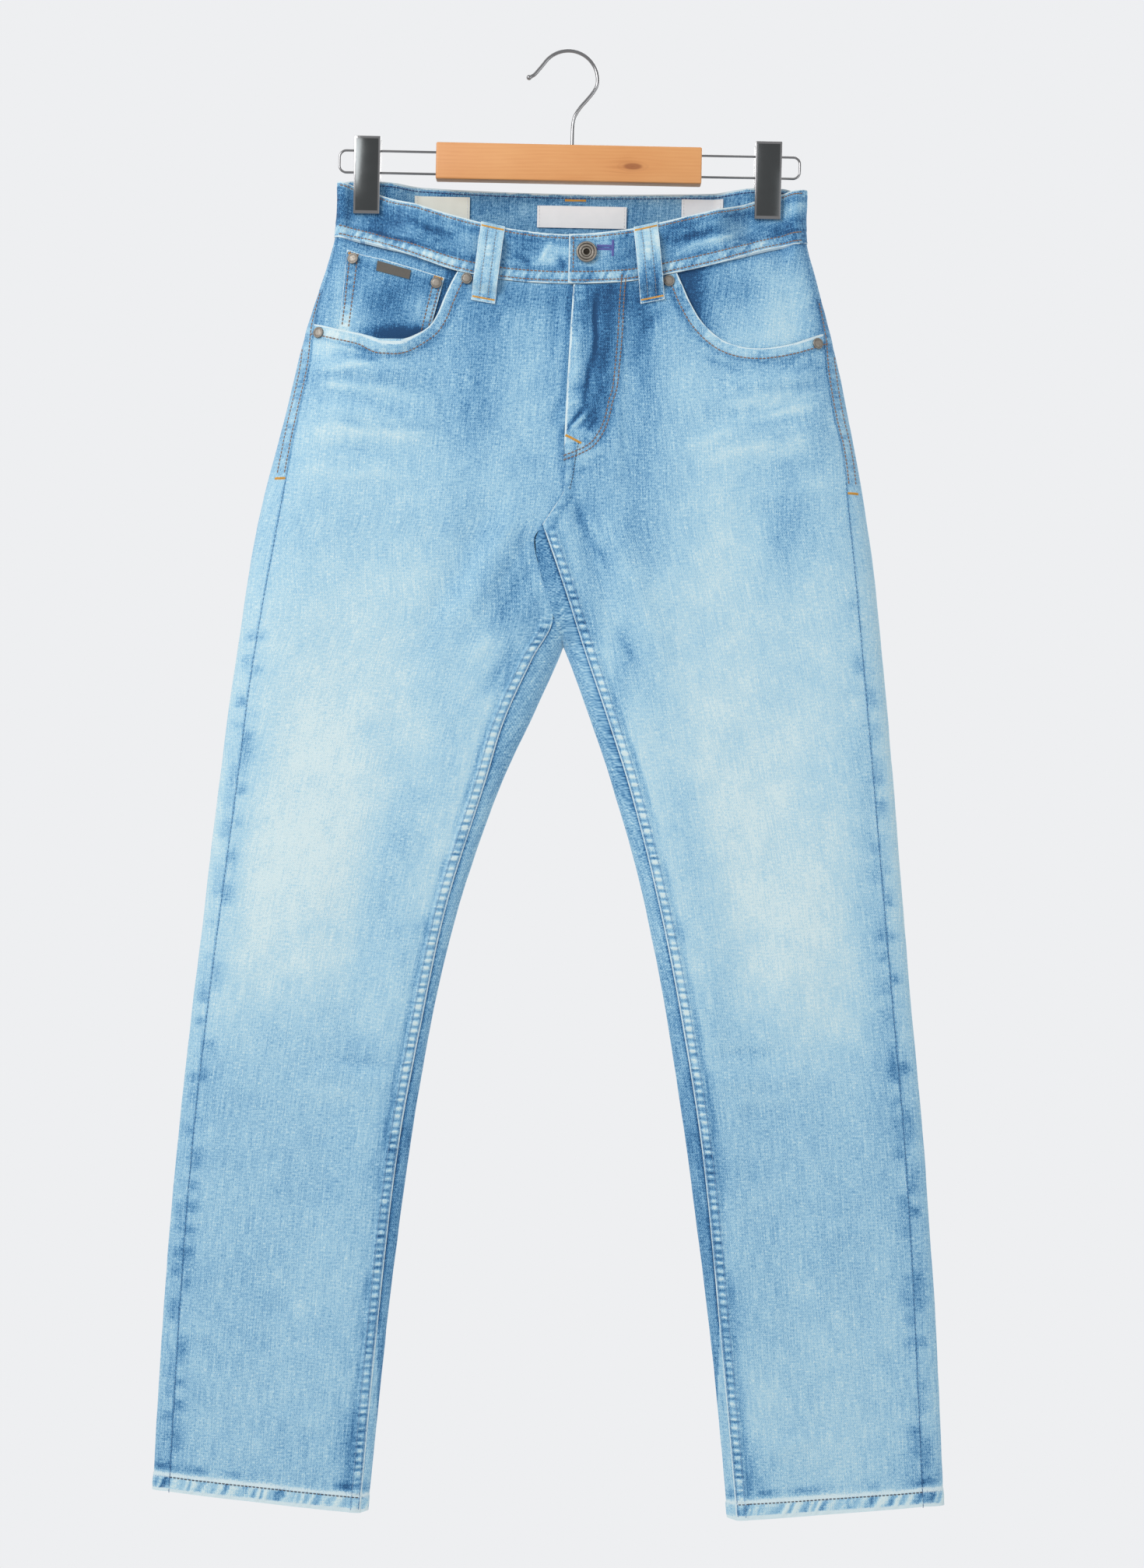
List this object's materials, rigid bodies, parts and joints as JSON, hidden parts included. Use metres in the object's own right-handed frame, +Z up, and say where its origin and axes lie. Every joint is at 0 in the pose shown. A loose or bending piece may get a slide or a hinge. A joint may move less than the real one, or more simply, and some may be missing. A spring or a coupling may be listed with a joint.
{
  "type": "slim jeans on a wooden clip hanger",
  "caption": "Slim five-pocket jeans in light stonewashed denim, hung flat by the waistband from a wooden hanger with two clips and a wire hook.",
  "frame": {"origin": "inside of the crown of the hanger's hook, where a rail carries it", "axes": "+Z up, +X to the right of someone who faces the fly (the wearer's left), -Y out of the front of the jeans"},
  "size_m": [0.6517, 0.0635, 1.205],
  "materials": {
    "denim": "stonewashed light blue denim twill, matt",
    "waistband_denim": "stonewashed mid blue denim twill, matt",
    "label_cloth": "smooth woven white tape",
    "cream_label_cloth": "smooth woven cream tape",
    "tab_cloth": "dark grey woven tab",
    "aged_steel": "antiqued nickel",
    "chrome": "polished",
    "pine": "clear lacquered"
  },
  "bodies": {
    "root": {"front_right_hip": "denim", "front_right_thigh": "denim", "front_right_calf": "denim", "front_left_hip": "denim", "front_left_thigh": "denim", "front_left_calf": "denim", "back_right_hip": "denim", "back_right_thigh": "denim", "back_right_calf": "denim", "back_left_hip": "denim", "back_left_thigh": "denim", "back_left_calf": "denim", "yoke_right": "denim", "yoke_left": "denim", "back_pocket_right": "denim", "back_pocket_left": "denim", "belt_loop_front_right": "denim", "belt_loop_front_left": "denim", "belt_loop_back_right": "denim", "belt_loop_back_left": "denim", "belt_loop_back_centre": "denim", "coin_pocket": "denim", "pocket_facing_right": "denim", "pocket_facing_left": "denim", "fly_shield": "denim", "waistband": "waistband_denim", "label_centre": "label_cloth", "label_left": "label_cloth", "label_right": "cream_label_cloth", "woven_tab": "tab_cloth", "waist_button": "aged_steel", "rivet_coin_outer": "aged_steel", "rivet_coin_inner": "aged_steel", "rivet_right_top": "aged_steel", "rivet_right_side": "aged_steel", "rivet_left_top": "aged_steel", "rivet_left_side": "aged_steel", "hook": "chrome", "wire_right": "chrome", "wire_left": "chrome", "clip_right_front": "chrome", "clip_right_back": "chrome", "clip_left_front": "chrome", "clip_left_back": "chrome", "hanger_bar": "pine"}
  },
  "joints": []
}
